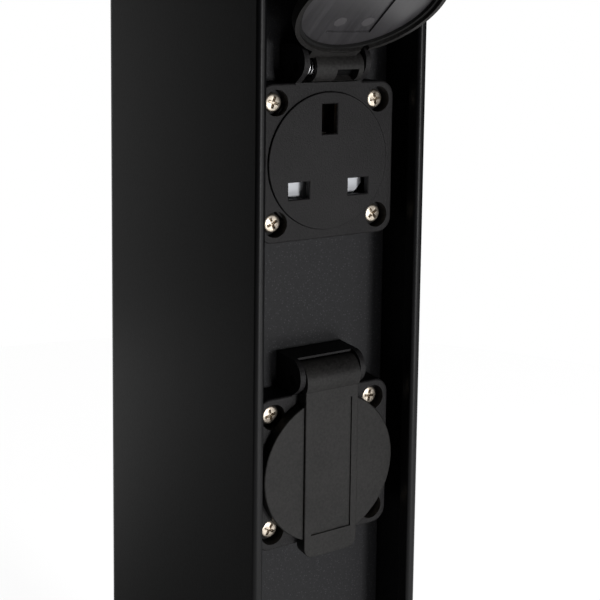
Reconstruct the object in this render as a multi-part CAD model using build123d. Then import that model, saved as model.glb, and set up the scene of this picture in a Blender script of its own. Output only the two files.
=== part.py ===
from build123d import *
import math
import os

# Garden socket post: an extruded metal post with an open front channel, two
# sockets with sprung lids on a panel at the bottom of the channel, a cap and a
# base plate.  Millimetres.  X to the right, Y into the post, Z up, the origin
# under the middle of the base plate.  A socket is drawn about the middle of its
# flange's front face and then set at its height.

# Post: outer section, wall, the thick front edges and the height.
post_width = 62.0
post_depth = 128.0
post_wall = 1.5
post_length = 380.0
post_back_round = 8.0
edge_width = 3.4
edge_depth = 6.0
edge_round = 1.4
recess_depth = 20.0
ledge_reach = 5.6
ledge_thickness = 2.5
port_radius = 3.8
port_bore_radius = 1.75
port_sink = 0.5

# Panel at the bottom of the channel.
panel_thickness = 2.0
panel_side_gap = 0.2
panel_end_gap = 0.5
panel_screw_inset = 16.0
panel_screw_wall_gap = 0.4

# Base plate with its ground bolts, and the gasket under the post.
base_overhang = 19.0
ground_bolt_inset = 9.0
base_thickness = 6.0
base_corner_round = 8.0
base_edge_round = 1.0
ground_bolt_hole_radius = 4.5
gasket_thickness = 1.5
gasket_lip = 3.0

# Cap: a moulded cover with a plug that reaches into the post.
cap_height = 11.0
cap_overhang = 1.0
cap_edge_round = 2.5
cap_wall = 2.5
cap_plug_reach = 6.0
cap_plug_gap = 0.3

# Countersunk screws in the ports and in the panel.
csk_shank_radius = 1.7
csk_head_radius = 3.4
csk_head_height = 2.0
csk_recess_radius = 1.5
csk_recess_width = 0.9
csk_recess_depth = 1.1
port_screw_length = 18.0
panel_screw_length = 8.0
head_gap = 0.05
thread_gap = 0.05

# Where the sockets sit.
socket_pitch = 100.0
upper_socket_height = 296.0
flange_setback = 9.8

# Socket flange.
flange_side = 50.0
flange_corner_round = 5.0
flange_edge_round = 0.7
flange_thickness = 9.0
flange_gasket_thickness = 1.2
flange_front_wall = 2.2
face_border = 3.0
face_gap = 0.15
body_lip = 1.3
body_gap = 0.3
flange_screw_inset = 6.0
counterbore_radius = 4.15
counterbore_depth = 4.2
flange_hole_radius = 1.95

# Pan-head screws of the flange.
pan_head_radius = 3.05
pan_head_height = 2.2
pan_head_round = 1.0
pan_shank_radius = 1.7
pan_shank_length = 13.0
cross_length = 3.4
cross_width = 0.7
cross_depth = 1.2

# Hinge on the flange's upper edge.
hinge_rise = 5.0
block_half_width = 12.3
block_top_rise = 6.9
ear_width = 1.9
ear_nose_radius = 5.3
lip_setback = 0.2
barrel_radius = 4.7
strap_radius = 5.9
hinge_turn_gap = 0.3
pin_radius = 1.65
pin_fit_gap = 0.01
pin_running_gap = 0.06

# Lid.
open_angle = 127.0
lid_setback = 0.7
lid_wall = 1.35
lid_face_rise = 3.95
lid_rim_gap = 0.3
lid_edge_round = 0.5
band_half_width = 10.0
band_rise = 0.95
band_edge_round = 0.4
tab_length = 4.0
tab_corner_round = 3.5
neck_top_drop = 2.5
neck_margin = 1.9
neck_right = 7.5
neck_setback = 0.5
neck_overlap = 4.2
rim_notch_width = 2.6
strap_front_angle = 214.0
strap_back_angle = 80.0
pocket_half_width = 7.5
pocket_top_margin = 1.3
pocket_bottom_margin = 3.5
pocket_depth = 0.5
field_half_width = 8.2
field_rise = 0.6
field_top_margin = 8.9
field_bottom_margin = 5.9
barrel_notch = 2.6
barrel_window_left = 0.2
barrel_window_right = 8.2
barrel_window_height = 5.0
barrel_window_angle = 349.0
barrel_window_floor = 1.6
spring_well_radius = 3.3
seal_width = 1.0
seal_thickness = 1.1

# Torsion spring of the lid.
lid_wire_radius = 0.3
lid_coil_radius = 2.45
lid_coil_turns = 4
lid_coil_length = 4.6
lid_coil_side_gap = 0.15
lid_leg_back = 6.4
spring_start_angle = 225.0
spring_end_angle = 270.0
lid_leg_front = 3.6
leg_gap = 0.05

# Socket face with its apertures.
face_rise = 0.85
face_thickness = 2.1
face_edge_round = 0.3
face_ring_width = 2.2
face_shoulder_thickness = 1.4
flat_pin_offset_share = 0.222
flat_pin_drop_share = 0.176
flat_pin_width = 7.6
flat_pin_height = 5.4
earth_rise_share = 0.268
earth_width = 5.6
earth_height = 9.6
aperture_chamfer = 0.3

# Body behind the face.
body_neck_step = 1.8
body_front_length = 10.3
body_length = 32.0
body_wall = 1.4
shutter_room = 4.4
pocket_gap = 0.4
face_screw_inset = 6.3
face_screw_rise = 6.0
face_screw_radius = 1.4
face_screw_head_radius = 2.6
face_screw_head_height = 1.8
face_boss_radius = 3.0

# Shutter, its cam and its return spring.
shutter_gap = 0.3
shutter_thickness = 2.0
shutter_cover = 0.7
shutter_corner_cut = 3.5
shutter_travel = 5.8
cam_left = -2.1
cam_right = -0.3
cam_reach = 6.2
shutter_wire_radius = 0.22
shutter_coil_radius = 1.2
shutter_coil_turns = 6
shutter_spring_seat = 0.3

# Brass contacts and their terminals.
leaf_thickness = 0.6
flat_plug_pin_thickness = 4.0
flat_plug_pin_width = 6.35
earth_plug_pin_width = 4.0
earth_plug_pin_height = 8.0
leaf_start = 8.8
leaf_length = 14.0
earth_leaf_start = 1.7
terminal_side = 7.0
terminal_length = 9.0
terminal_bore_radius = 1.35
terminal_screw_radius = 1.4
terminal_screw_length = 4.0
terminal_well_gap = 0.4
wire_slot_width = 3.4

# Wires and the terminal block on its bracket.
wire_radius = 1.2
wire_entry_gap = 0.1
wire_drop = 24.0
wire_bend_radius = 12.0
wire_insert = 6.0
link_bend_radius = 6.0
link_lead = 2.5
bracket_width = 44.0
bracket_height = 104.0
bracket_thickness = 2.0
bracket_foot = 22.0
bracket_y = 34.0
block_pole_pitch = 11.0
block_height = 22.0
block_depth = 16.0
block_centre_height = 92.0
block_screw_bore_radius = 2.2
clamp_half_side = 3.2
clamp_wall = 0.4
clamp_gap = 0.1
clamp_length = 18.0
clamp_screw_radius = 2.0
clamp_screw_length = 5.0
block_fixing_radius = 1.5

# Earth stud with its nut and ring lugs.
stud_radius = 2.5
stud_length = 16.0
stud_below_block = 38.0
nut_across_flats = 8.0
nut_height = 4.0
lug_radius = 5.0
lug_thickness = 1.0
lug_tail = 13.0
lug_tail_half_width = 2.0
lug_barrel_radius = 1.9
lug_barrel_length = 7.0
stud_gap = 0.05

# Cable gland in the base plate.
gland_behind_panel = 20.0
gland_thread_radius = 10.0
gland_hex_across = 24.0
gland_hex_height = 6.0
gland_body_radius = 10.5
gland_body_height = 10.0
gland_nut_across = 24.0
gland_nut_height = 15.0
gland_nut_crown = 3.0
gland_bore_radius = 7.0
gland_seal_bore_radius = 5.5
gland_seal_radius = 8.6
gland_seal_height = 9.0
gland_gap = 0.1

overrun = 1.0

# Places that follow from the sizes above.
post_bottom = base_thickness + gasket_thickness
post_top = post_bottom + post_length
front_plane = -post_depth / 2
panel_front = front_plane + recess_depth
panel_back = panel_front + panel_thickness
flange_face_y = front_plane + flange_setback
inner_half = post_width / 2 - post_wall
base_width = post_width + 2 * base_overhang
base_depth = post_depth + 2 * base_overhang
ground_bolt_spacing_x = base_width - 2 * ground_bolt_inset
ground_bolt_spacing_y = base_depth - 2 * ground_bolt_inset
gland_y = panel_back + gland_behind_panel
stud_height = block_centre_height - stud_below_block
face_radius = flange_side / 2 - face_border
body_radius = face_radius + body_lip
body_neck_radius = body_radius - body_neck_step
face_screw_offset = body_radius - face_screw_inset
screw_pitch = flange_side - 2 * flange_screw_inset
flat_pin_offset = flange_side * flat_pin_offset_share
flat_pin_drop = flange_side * flat_pin_drop_share
earth_rise = flange_side * earth_rise_share
lid_radius = flange_side / 2 - lid_setback
tab_reach = lid_radius + tab_length
pocket_top = lid_radius - pocket_top_margin
pocket_bottom = pocket_bottom_margin - lid_radius
field_top = lid_radius - field_top_margin
field_bottom = field_bottom_margin - lid_radius
body_start = flange_front_wall + face_shoulder_thickness + shutter_gap / 2
cavity_floor = body_start + shutter_room
body_back = body_start + body_length
hinge_z = flange_side / 2 + hinge_rise
band_face = lid_face_rise + band_rise
socket_heights = {"upper": upper_socket_height, "lower": upper_socket_height - socket_pitch}
lid_angles = {"upper": open_angle, "lower": 0.0}


def block(x0, x1, y0, y1, z0, z1):
    """A box between two corners."""
    return Pos((x0 + x1) / 2, (y0 + y1) / 2, (z0 + z1) / 2) * Box(x1 - x0, y1 - y0, z1 - z0)


def along_x(profile, x0, x1):
    """A profile drawn in Y and Z, drawn out from x0 to x1."""
    plane = Plane(origin=(x0, 0, 0), x_dir=(0, 1, 0), z_dir=(1, 0, 0))
    return extrude(plane * profile, amount=x1 - x0)


def along_y(profile, y0, y1):
    """A profile drawn in X and Z, drawn out from y0 to y1."""
    plane = Plane(origin=(0, y1, 0), x_dir=(1, 0, 0), z_dir=(0, -1, 0))
    return extrude(plane * profile, amount=y1 - y0)


def along_z(profile, z0, z1):
    """A profile drawn in X and Y, drawn out from z0 to z1."""
    return extrude(Pos(0, 0, z0) * profile, amount=z1 - z0)


def disc(u, v, radius):
    return Pos(u, v) * Circle(radius)


def plate(u0, u1, v0, v1):
    return Pos((u0 + u1) / 2, (v0 + v1) / 2) * Rectangle(u1 - u0, v1 - v0)


def round_corners(profile, radius):
    return fillet(profile.vertices(), radius)


def corners(spacing_x, spacing_y):
    """The four corners of a rectangle about the origin."""
    return [(sx * spacing_x / 2, sy * spacing_y / 2) for sx in (-1, 1) for sy in (-1, 1)]


def hexagon(across_flats):
    return RegularPolygon(across_flats / math.sqrt(3), 6)


def biarc(start, start_way, end, end_way):
    """Two arcs that leave start and reach end along the given unit ways."""
    across = end - start
    ways = start_way + end_way
    square = 2 * (start_way.dot(end_way) - 1)
    middle = -2 * across.dot(ways)
    rest = across.dot(across)
    reach = (-middle - math.sqrt(middle * middle - 4 * square * rest)) / (2 * square)
    near = start + start_way * reach
    far = end - end_way * reach
    join = (near + far) / 2
    return [TangentArc(start, join, tangent=start_way), TangentArc(join, end, tangent=far - near)]


def coil(start_angle, turn, radius, length, lead_in, lead_out):
    """A helix about X as half-turn biarcs, with straight ends square to X.

    The angle is counted in the YZ plane from +Y towards +Z, in degrees.
    """
    rise = length / math.radians(abs(turn))
    sense = math.copysign(1, turn)

    def place(angle):
        a = math.radians(start_angle + sense * angle)
        return Vector(rise * math.radians(angle), radius * math.cos(a), radius * math.sin(a))

    total = abs(turn)

    def way(angle):
        a = math.radians(start_angle + sense * angle)
        ahead = rise if 0 < angle < total else 0
        return Vector(ahead, -sense * radius * math.sin(a), sense * radius * math.cos(a)).normalized()

    halves = math.ceil(total / 180)
    stops = [total * i / halves for i in range(halves + 1)]
    first, last = place(0), place(total)
    edges = [Line(first - way(0) * lead_in, first)]
    for a, b in zip(stops, stops[1:]):
        edges += biarc(place(a), way(a), place(b), way(b))
    edges.append(Line(last, last + way(total) * lead_out))
    return Wire(edges)


def tube(path, radius):
    section = Plane(origin=path @ 0, z_dir=path % 0) * Circle(radius)
    return sweep(section, path=path)


def least_turn_gap(length, turn, radius, wire_radius):
    """The least clear gap between neighbouring turns, from points on the helix."""
    steps = 72
    rise = length / abs(turn)
    gaps = []
    for step in range(1, steps):
        angle = 180 + 360 * step / steps
        across = 2 * radius * math.sin(math.radians(angle / 2))
        gaps.append(math.hypot(rise * angle, across) - 2 * wire_radius)
    return min(gaps)


def cross_recess(length, width, depth):
    """A cross-shaped cut that goes down from z = 0."""
    bars = plate(-length / 2, length / 2, -width / 2, width / 2)
    bars += plate(-width / 2, width / 2, -length / 2, length / 2)
    return along_z(bars, -depth, overrun)


def countersunk_screw(length):
    """Head flush with z = 0, shank down."""
    cone = Pos(0, 0, -csk_head_height / 2) * Cone(csk_shank_radius, csk_head_radius, csk_head_height)
    shank = along_z(Circle(csk_shank_radius), -length, 0)
    return cone + shank - cross_recess(2 * csk_recess_radius, csk_recess_width, csk_recess_depth)


def countersink(length):
    """The cut for a countersunk screw whose head is flush with z = 0."""
    cone = Pos(0, 0, -csk_head_height / 2) * Cone(
        csk_shank_radius + head_gap, csk_head_radius + head_gap, csk_head_height
    )
    return cone + along_z(Circle(csk_shank_radius + head_gap), -length, 0)


def port_places():
    """The screw ports: two in the rear corners, two behind the panel's ledges."""
    x = inner_half - port_radius + port_sink
    rear = post_depth / 2 - post_wall - port_radius + port_sink
    front = panel_back + ledge_thickness + port_radius - port_sink
    return [(sx * x, y) for sx in (-1, 1) for y in (front, rear)]


def post_outline(grow):
    """The post's outer section, larger by grow all round."""
    outline = Rectangle(post_width + 2 * grow, post_depth + 2 * grow)
    rear = outline.vertices().sort_by(Axis.Y)[-2:]
    outline = fillet(rear, post_back_round + grow)
    front = outline.vertices().sort_by(Axis.Y)[:2]
    return fillet(front, edge_round + grow)


def post_shell():
    """Extrusion: three walls, thick rounded front edges, panel ledges, screw ports."""
    room = Rectangle(2 * inner_half, post_depth)
    room = fillet(room.vertices().sort_by(Axis.Y)[-2:], post_back_round - post_wall)
    section = post_outline(0) - Pos(0, -post_wall) * room
    for side in (-1, 1):
        outer = side * post_width / 2
        edge = plate(outer, outer - side * edge_width, front_plane, front_plane + edge_depth)
        section += round_corners(edge, edge_round)
        tip = side * (inner_half - ledge_reach)
        section += plate(tip, side * (inner_half + post_wall / 2), panel_back, panel_back + ledge_thickness)
    for x, y in port_places():
        section += disc(x, y, port_radius)
    for x, y in port_places():
        section -= disc(x, y, port_bore_radius)
    shell = along_z(section, post_bottom, post_top)
    for x, z in panel_screw_places():
        hole_radius = csk_shank_radius + thread_gap
        shell -= along_y(disc(x, z, hole_radius), panel_back - overrun, panel_back + panel_screw_length)
    return shell


def panel_screw_places():
    """Two screws near the panel's top and two near its bottom."""
    x = inner_half - csk_head_radius - panel_screw_wall_gap
    low = post_bottom + panel_screw_inset
    high = post_top - cap_plug_reach - panel_screw_inset
    return [(sx * x, z) for sx in (-1, 1) for z in (low, high)]


def facing_front(piece, x, y, z):
    """Turn a piece whose head faces +Z so that the head faces the front."""
    return Pos(x, y, z) * Rot(90, 0, 0) * piece


def socket_panel():
    half = inner_half - panel_side_gap
    low = post_bottom + panel_end_gap
    high = post_top - cap_plug_reach - panel_end_gap
    panel = block(-half, half, panel_front, panel_back, low, high)
    for height in socket_heights.values():
        cutout = disc(0, height, body_radius + body_gap)
        for x, z in corners(screw_pitch, screw_pitch):
            cutout += disc(x, height + z, pan_shank_radius + thread_gap)
        panel -= along_y(cutout, panel_front - overrun, panel_back + overrun)
    for x, z in panel_screw_places():
        panel -= facing_front(countersink(panel_screw_length), x, panel_front, z)
    return panel


def panel_screws():
    screw = countersunk_screw(panel_screw_length)
    return [facing_front(screw, x, panel_front, z) for x, z in panel_screw_places()]


def base_plate():
    """Plate with ground bolt holes, gland thread and countersunk holes from below."""
    outline = round_corners(Rectangle(base_width, base_depth), base_corner_round)
    for x, y in corners(ground_bolt_spacing_x, ground_bolt_spacing_y):
        outline -= disc(x, y, ground_bolt_hole_radius)
    outline -= disc(0, gland_y, gland_thread_radius + gland_gap)
    for x in bracket_screw_offsets():
        outline -= disc(x, bracket_y - bracket_foot / 2, csk_shank_radius + thread_gap)
    plate_body = along_z(outline, 0, base_thickness)
    rim = plate_body.faces().sort_by(Axis.Z)[-1].outer_wire().edges()
    plate_body = fillet(rim, base_edge_round)
    for x, y in port_places():
        plate_body -= Pos(x, y, 0) * Rot(180, 0, 0) * countersink(base_thickness + overrun)
    return plate_body


def base_gasket():
    """Flat ring under the post's walls, open over the channel's floor."""
    outline = post_outline(0)
    inner_width = 2 * (inner_half - gasket_lip)
    inner_back = post_depth / 2 - post_wall - gasket_lip
    room = plate(-inner_width / 2, inner_width / 2, panel_back + gasket_lip, inner_back)
    ring = outline - round_corners(room, gasket_lip)
    ring -= plate(-inner_width / 2, inner_width / 2, front_plane - overrun, panel_front - gasket_lip)
    for x, y in port_places():
        ring += disc(x, y, port_radius)
        ring -= disc(x, y, csk_shank_radius + head_gap)
    return along_z(ring, base_thickness, post_bottom)


def base_screws():
    screw = Rot(180, 0, 0) * countersunk_screw(port_screw_length)
    return [Pos(x, y, 0) * screw for x, y in port_places()]


def top_cap():
    """Hollow cover with rounded edges, a plug in the post and a roof over the channel."""
    outer = along_z(post_outline(cap_overhang), post_top, post_top + cap_height)
    upper = outer.faces().sort_by(Axis.Z)[-1].outer_wire().edges()
    cap = fillet(upper, cap_edge_round)
    half = inner_half - cap_plug_gap
    low = post_top - cap_plug_reach
    y_front = panel_back + ledge_thickness + cap_plug_gap
    y_back = post_depth / 2 - post_wall - cap_plug_gap
    plug = along_z(plate(-half, half, y_front, y_back), low, post_top + overrun)
    back_edges = plug.edges().filter_by(Axis.Z).sort_by(Axis.Y)[-2:]
    plug = fillet(back_edges, post_back_round - post_wall)
    cap += plug
    room = plate(-half + cap_wall, half - cap_wall, y_front + cap_wall, y_back - cap_wall)
    cap -= along_z(room, low - overrun, post_top + cap_height - cap_wall)
    clear = port_radius + cap_plug_gap
    for x, y in port_places():
        boss = along_z(disc(x, y, clear), post_top, post_top + cap_height - cap_wall)
        cap += boss
        cap -= along_z(disc(x, y, clear), low - overrun, post_top)
        cap -= Pos(x, y, post_top + cap_height) * countersink(cap_height + overrun)
    return cap


def cap_screws():
    screw = countersunk_screw(port_screw_length)
    return [Pos(x, y, post_top + cap_height) * screw for x, y in port_places()]


def hinge_block():
    """Ears with round noses and the block behind them, with the barrel's hollow."""
    top = hinge_z + block_top_rise
    root = flange_side / 2 - flange_corner_round
    nose_z = top - ear_nose_radius
    reach = nose_z - flange_side / 2
    tangent = math.sqrt(reach**2 - ear_nose_radius**2)
    lean = math.asin(ear_nose_radius / reach)
    touch_y = -tangent * math.sin(lean)
    touch_z = flange_side / 2 + tangent * math.cos(lean)
    side = plate(0, flange_thickness, root, top) + disc(0, nose_z, ear_nose_radius)
    side += make_face(Polyline((0, flange_side / 2), (touch_y, touch_z), (0, nose_z), close=True))
    ears = along_x(side, -block_half_width, block_half_width)
    inner = block_half_width - ear_width
    hollow = disc(0, hinge_z, strap_radius + hinge_turn_gap)
    hollow += plate(-2 * ear_nose_radius, lip_setback, flange_side / 2, top + overrun)
    hollow -= plate(-2 * ear_nose_radius, flange_thickness, root - overrun, flange_side / 2)
    ears -= along_x(hollow, -inner, inner)
    return ears


def flange():
    """Moulded square frame with the hinge block, stepped bore and screw counterbores."""
    outline = round_corners(Rectangle(flange_side, flange_side), flange_corner_round)
    body = along_y(outline, 0, flange_thickness)
    front = body.faces().sort_by(Axis.Y)[0].edges()
    body = fillet(front, flange_edge_round)
    body += hinge_block()
    body -= along_y(Circle(face_radius + face_gap), -overrun, flange_thickness + overrun)
    body -= along_y(Circle(body_radius + body_gap), flange_front_wall, flange_thickness + overrun)
    for x, z in corners(screw_pitch, screw_pitch):
        body -= along_y(disc(x, z, counterbore_radius), -overrun, counterbore_depth)
        body -= along_y(disc(x, z, flange_hole_radius), -overrun, flange_thickness + overrun)
    pin_hole = disc(0, hinge_z, pin_radius + pin_fit_gap)
    body -= along_x(pin_hole, -block_half_width - overrun, block_half_width + overrun)
    body -= Pos(spring_left(), 0, hinge_z) * spring_leg_hole()
    return body


def flange_gasket():
    outline = round_corners(Rectangle(flange_side, flange_side), flange_corner_round)
    top = hinge_z + block_top_rise
    outline += plate(-block_half_width, block_half_width, 0, top)
    outline -= Circle(body_radius + body_gap)
    for x, z in corners(screw_pitch, screw_pitch):
        outline -= disc(x, z, flange_hole_radius)
    return along_y(outline, flange_thickness, flange_thickness + flange_gasket_thickness)


def flange_screws():
    """Four pan-head screws with cross recesses, heads sunk in the counterbores."""
    head = along_z(Circle(pan_head_radius), 0, pan_head_height)
    head = fillet(head.faces().sort_by(Axis.Z)[-1].edges(), pan_head_round)
    head -= Pos(0, 0, pan_head_height) * cross_recess(cross_length, cross_width, cross_depth)
    screw = head + along_z(Circle(pan_shank_radius), -pan_shank_length, overrun / 2)
    return [facing_front(screw, x, counterbore_depth, z) for x, z in corners(screw_pitch, screw_pitch)]


def hinge_pin():
    return along_x(disc(0, hinge_z, pin_radius), -block_half_width, block_half_width)


def spring_left():
    """Where the lid spring's first turn starts, beside the left ear."""
    return -block_half_width + ear_width + lid_coil_side_gap + lid_wire_radius


def spring_leg_hole():
    """The slanting hole that takes the spring's first leg."""
    a = math.radians(spring_start_angle)
    start = (0, lid_coil_radius * math.cos(a), lid_coil_radius * math.sin(a))
    line = Plane(origin=start, z_dir=(0, -math.sin(a), math.cos(a)))
    return extrude(line * Circle(lid_wire_radius + leg_gap), amount=lid_leg_back + leg_gap)


def lid_spring(angle):
    """Torsion spring round the pin: one leg in the block, the other in the barrel."""
    turn = spring_end_angle - spring_start_angle - 360 * lid_coil_turns - angle
    path = coil(spring_start_angle, turn, lid_coil_radius, lid_coil_length, lid_leg_back, lid_leg_front)
    gap = least_turn_gap(lid_coil_length, turn, lid_coil_radius, lid_wire_radius)
    print("lid spring turns", round(-turn / 360, 2), "least gap", round(gap, 3))
    return Pos(spring_left(), 0, hinge_z) * tube(path, lid_wire_radius)


def lid():
    """Closed lid: round shell with rim, band with pocket and tab, neck, strap, barrel."""
    skin = -lid_face_rise + lid_wall
    shell = along_y(Circle(lid_radius), -lid_face_rise, -lid_rim_gap)
    shell = fillet(shell.faces().sort_by(Axis.Y)[0].edges(), lid_edge_round)
    shell -= along_y(Circle(lid_radius - lid_wall), skin, overrun)

    band = plate(-band_half_width, band_half_width, -tab_reach, hinge_z - neck_top_drop)
    low = band.vertices().sort_by(Axis.Y)[:2]
    band = fillet(low, tab_corner_round)
    raised = along_y(band, -band_face, skin)
    edges = raised.faces().sort_by(Axis.Y)[0].edges()
    raised = fillet(edges, band_edge_round)
    tab = along_y(band, -lid_face_rise, -lid_rim_gap)
    tab &= block(
        -band_half_width, band_half_width, -lid_face_rise, -lid_rim_gap, -tab_reach, lid_wall - lid_radius
    )
    lid_body = shell + raised + (tab - along_y(Circle(lid_radius - lid_wall), skin, overrun))
    lid_body += hinge_neck(skin)
    lid_body -= block(
        neck_right, neck_right + rim_notch_width, skin, overrun, field_top, lid_radius + overrun
    )

    strap = Circle(strap_radius) - Circle(barrel_radius - lid_wall)
    wedge = 2 * strap_radius
    front = math.radians(strap_front_angle)
    back = math.radians(strap_back_angle)
    keep = make_face(
        Polyline(
            (0, 0),
            (wedge * math.cos(front), wedge * math.sin(front)),
            (-wedge, 0),
            (-wedge, wedge),
            (wedge * math.cos(back), wedge * math.sin(back)),
            close=True,
        )
    )
    wrap = along_x(Pos(0, hinge_z) * (strap & keep), -band_half_width, band_half_width)
    lid_body += wrap
    barrel_left = barrel_notch - band_half_width
    core = along_x(disc(0, hinge_z, barrel_radius), barrel_left, band_half_width)
    lid_body += core
    lid_body -= along_x(disc(0, hinge_z, barrel_radius - lid_wall), -band_half_width - overrun, barrel_left)
    return finish_lid(lid_body, skin)


def hinge_neck(skin):
    """Straight block inside the rim that joins the round shell to the barrel."""
    low = lid_radius - neck_margin
    neck = block(-band_half_width, neck_right, skin, -neck_setback, low, hinge_z - neck_overlap)
    return neck - along_y(Circle(lid_radius - lid_wall), skin, skin + seal_thickness + head_gap)


def finish_lid(lid_body, skin):
    """Pocket, raised field inside, pin bore, spring well and window of the lid."""
    hole = pin_radius + pin_running_gap
    lid_body -= along_x(disc(0, hinge_z, hole), -band_half_width - overrun, band_half_width + overrun)
    well_end = spring_left() + lid_coil_length + lid_wire_radius + lid_coil_side_gap
    well = disc(0, hinge_z, spring_well_radius)
    lid_body -= along_x(well, -band_half_width - overrun, well_end)
    leg = disc(spring_left() + lid_coil_length, hinge_z - lid_coil_radius, lid_wire_radius + leg_gap)
    lid_body -= along_y(leg, -lid_leg_front - leg_gap, 0)
    pocket = plate(-pocket_half_width, pocket_half_width, pocket_bottom, pocket_top)
    lid_body -= along_y(pocket, -band_face - overrun, -band_face + pocket_depth)
    field = plate(-field_half_width, field_half_width, field_bottom, field_top)
    lid_body += along_y(field, skin - lid_wall / 2, skin + field_rise)
    window = block(
        barrel_window_left, barrel_window_right,
        barrel_window_floor, strap_radius,
        -barrel_window_height / 2, barrel_window_height / 2,
    )
    lid_body -= Pos(0, 0, hinge_z) * Rot(barrel_window_angle, 0, 0) * window
    return lid_body


def lid_seal():
    """Flat ring that lies against the lid's skin inside the rim."""
    outer = lid_radius - lid_wall - head_gap
    skin = -lid_face_rise + lid_wall
    ring = Circle(outer) - Circle(outer - seal_width)
    return along_y(ring, skin, skin + seal_thickness)


def turned(piece, angle):
    """A piece of the lid, opened by an angle about the hinge."""
    return piece.rotate(Axis((0, 0, hinge_z), (-1, 0, 0)), angle)


def apertures(grow):
    """The three openings of the face, larger by grow all round."""
    openings = plate(
        -earth_width / 2 - grow, earth_width / 2 + grow,
        earth_rise - earth_height / 2 - grow, earth_rise + earth_height / 2 + grow,
    )
    for side in (-1, 1):
        openings += Pos(side * flat_pin_offset, -flat_pin_drop) * Rectangle(
            flat_pin_width + 2 * grow, flat_pin_height + 2 * grow
        )
    return openings


def socket_face():
    """Round insert with a thin face, chamfered apertures, a ring and a shoulder."""
    back = body_start - shutter_gap / 2
    face = along_y(Circle(face_radius), -face_rise, flange_front_wall + overrun / 2)
    face = fillet(face.faces().sort_by(Axis.Y)[0].edges(), face_edge_round)
    face += along_y(Circle(body_radius), flange_front_wall, back)
    face -= along_y(Circle(face_radius - face_ring_width), -face_rise + face_thickness, back + overrun)
    for side in (-1, 1):
        boss = disc(side * face_screw_offset, face_screw_rise, face_boss_radius)
        face += along_y(boss, -face_rise + face_thickness / 2, back)
        bore = disc(side * face_screw_offset, face_screw_rise, face_screw_radius + thread_gap)
        face -= along_y(bore, -face_rise + face_thickness, back + overrun)
    cut = along_y(apertures(0), -face_rise - overrun, back)
    face -= cut
    for centre, size in aperture_centres():
        mouth = Plane(origin=(centre[0], -face_rise, centre[1]), x_dir=(1, 0, 0), z_dir=(0, -1, 0))
        wide = mouth * Rectangle(size[0] + 2 * aperture_chamfer, size[1] + 2 * aperture_chamfer)
        narrow = mouth.offset(-aperture_chamfer) * Rectangle(size[0], size[1])
        face -= loft(Sketch() + [wide, narrow])
    return face


def aperture_centres():
    flat = (flat_pin_width, flat_pin_height)
    return [
        ((0, earth_rise), (earth_width, earth_height)),
        ((-flat_pin_offset, -flat_pin_drop), flat),
        ((flat_pin_offset, -flat_pin_drop), flat),
    ]


def terminal_start():
    return leaf_start + leaf_length


def rear_body():
    """Moulded cup: shutter room in front, contact pockets and open terminal wells."""
    neck = body_start + body_front_length
    body = along_y(Circle(body_radius), body_start, neck)
    body += along_y(Circle(body_neck_radius), neck, body_back)
    body -= along_y(Circle(body_radius - body_wall), body_start - overrun, cavity_floor)
    for side in (-1, 1):
        boss = disc(side * face_screw_offset, face_screw_rise, face_boss_radius)
        body += along_y(boss, body_start, cavity_floor + overrun)
        bore = disc(side * face_screw_offset, face_screw_rise, face_screw_radius + thread_gap)
        body -= along_y(bore, body_start - overrun, body_back + overrun)
        head = disc(side * face_screw_offset, face_screw_rise, face_screw_head_radius + head_gap)
        body -= along_y(head, body_back - face_screw_head_height, body_back + overrun)
    for centre, size in aperture_centres():
        pocket = Pos(*centre) * Rectangle(size[0] + 2 * pocket_gap, size[1] + 2 * pocket_gap)
        body -= along_y(pocket, cavity_floor - overrun, terminal_start())
        well_side = terminal_side + 2 * terminal_well_gap
        body -= along_y(Pos(*centre) * Rectangle(well_side, well_side), terminal_start(), body_back + overrun)
        slot = plate(
            centre[0] - wire_slot_width / 2, centre[0] + wire_slot_width / 2,
            -body_radius, centre[1],
        )
        slot_start = terminal_start() + terminal_length / 2 - wire_slot_width / 2
        body -= along_y(slot, slot_start, body_back + overrun)
    cam_foot = -flat_pin_drop + flat_pin_height / 2 + shutter_cover - shutter_travel - pocket_gap
    cam_well = plate(
        cam_left - pocket_gap, cam_right + pocket_gap,
        cam_foot, earth_rise,
    )
    body -= along_y(cam_well, cavity_floor - overrun, shutter_back() + cam_reach + pocket_gap)
    return body


def shutter_back():
    return body_start + shutter_gap + shutter_thickness


def shutter():
    """White slider: two wings before the flat apertures, a bar and the earth cam."""
    low = -flat_pin_drop - flat_pin_height / 2 - shutter_cover
    high = -flat_pin_drop + flat_pin_height / 2 + shutter_cover
    outer = flat_pin_offset + flat_pin_width / 2 + shutter_cover
    front = shutter_back() - shutter_thickness
    wings = plate(-outer, outer, low, high)
    wings = chamfer(wings.vertices().sort_by(Axis.Y)[:2], shutter_corner_cut)
    stem_top = earth_rise - earth_height / 2
    wings += plate(cam_left - shutter_thickness, cam_right + shutter_thickness, low, stem_top)
    body = along_y(wings, front, shutter_back())
    pin_low = earth_rise - earth_plug_pin_height / 2
    ramp = make_face(
        Polyline(
            (front, high),
            (front, pin_low),
            (shutter_back() + cam_reach, pin_low + shutter_travel),
            (shutter_back() + cam_reach, high),
            close=True,
        )
    )
    body += along_x(ramp, cam_left, cam_right)
    return body


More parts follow.
